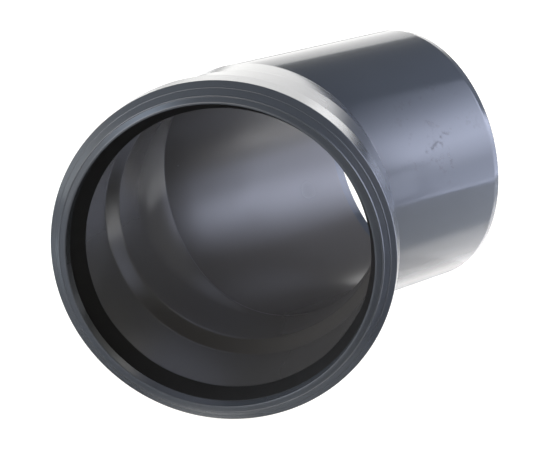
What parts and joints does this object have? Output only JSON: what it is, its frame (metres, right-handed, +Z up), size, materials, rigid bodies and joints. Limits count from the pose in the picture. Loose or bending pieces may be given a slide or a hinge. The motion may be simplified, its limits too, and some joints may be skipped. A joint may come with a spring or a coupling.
{
  "type": "push-fit pipe elbow",
  "caption": "Grey plastic push-fit pipe elbow: a ring-seal socket turns through 45 degrees into a plain chamfered spigot.",
  "frame": {"origin": "bottom centre of the fitting's box, on the surface it lies on: the spigot rests along its length and the wide socket end touches beside it", "axes": "+Z up; the socket opens towards -Y and leans up by 5.8 degrees; the spigot's axis is level and points half way between +X and +Y"},
  "size_m": [0.1602, 0.1944, 0.1263],
  "materials": {
    "plastic": "satin moulded plastic, anthracite grey",
    "ring_plastic": "satin moulded plastic, anthracite grey",
    "rubber": "matt black rubber"
  },
  "bodies": {
    "body": {"elbow_body": "plastic"},
    "retaining_ring": {"retaining_ring": "ring_plastic"},
    "seal": {"seal_ring": "rubber"}
  },
  "joints": [
    {"name": "retaining_ring_pull", "type": "slide", "parent": "body", "child": "retaining_ring", "axis": [-0.0051, -0.9949, 0.101], "range_m": [0, 0.06]},
    {"name": "seal_ring_pull", "type": "slide", "parent": "body", "child": "seal", "axis": [-0.0051, -0.9949, 0.101], "range_m": [0, 0.03]}
  ],
  "couplings": [
    {"joint": "seal_ring_pull", "follows": "retaining_ring_pull", "ratio": 0.5}
  ]
}
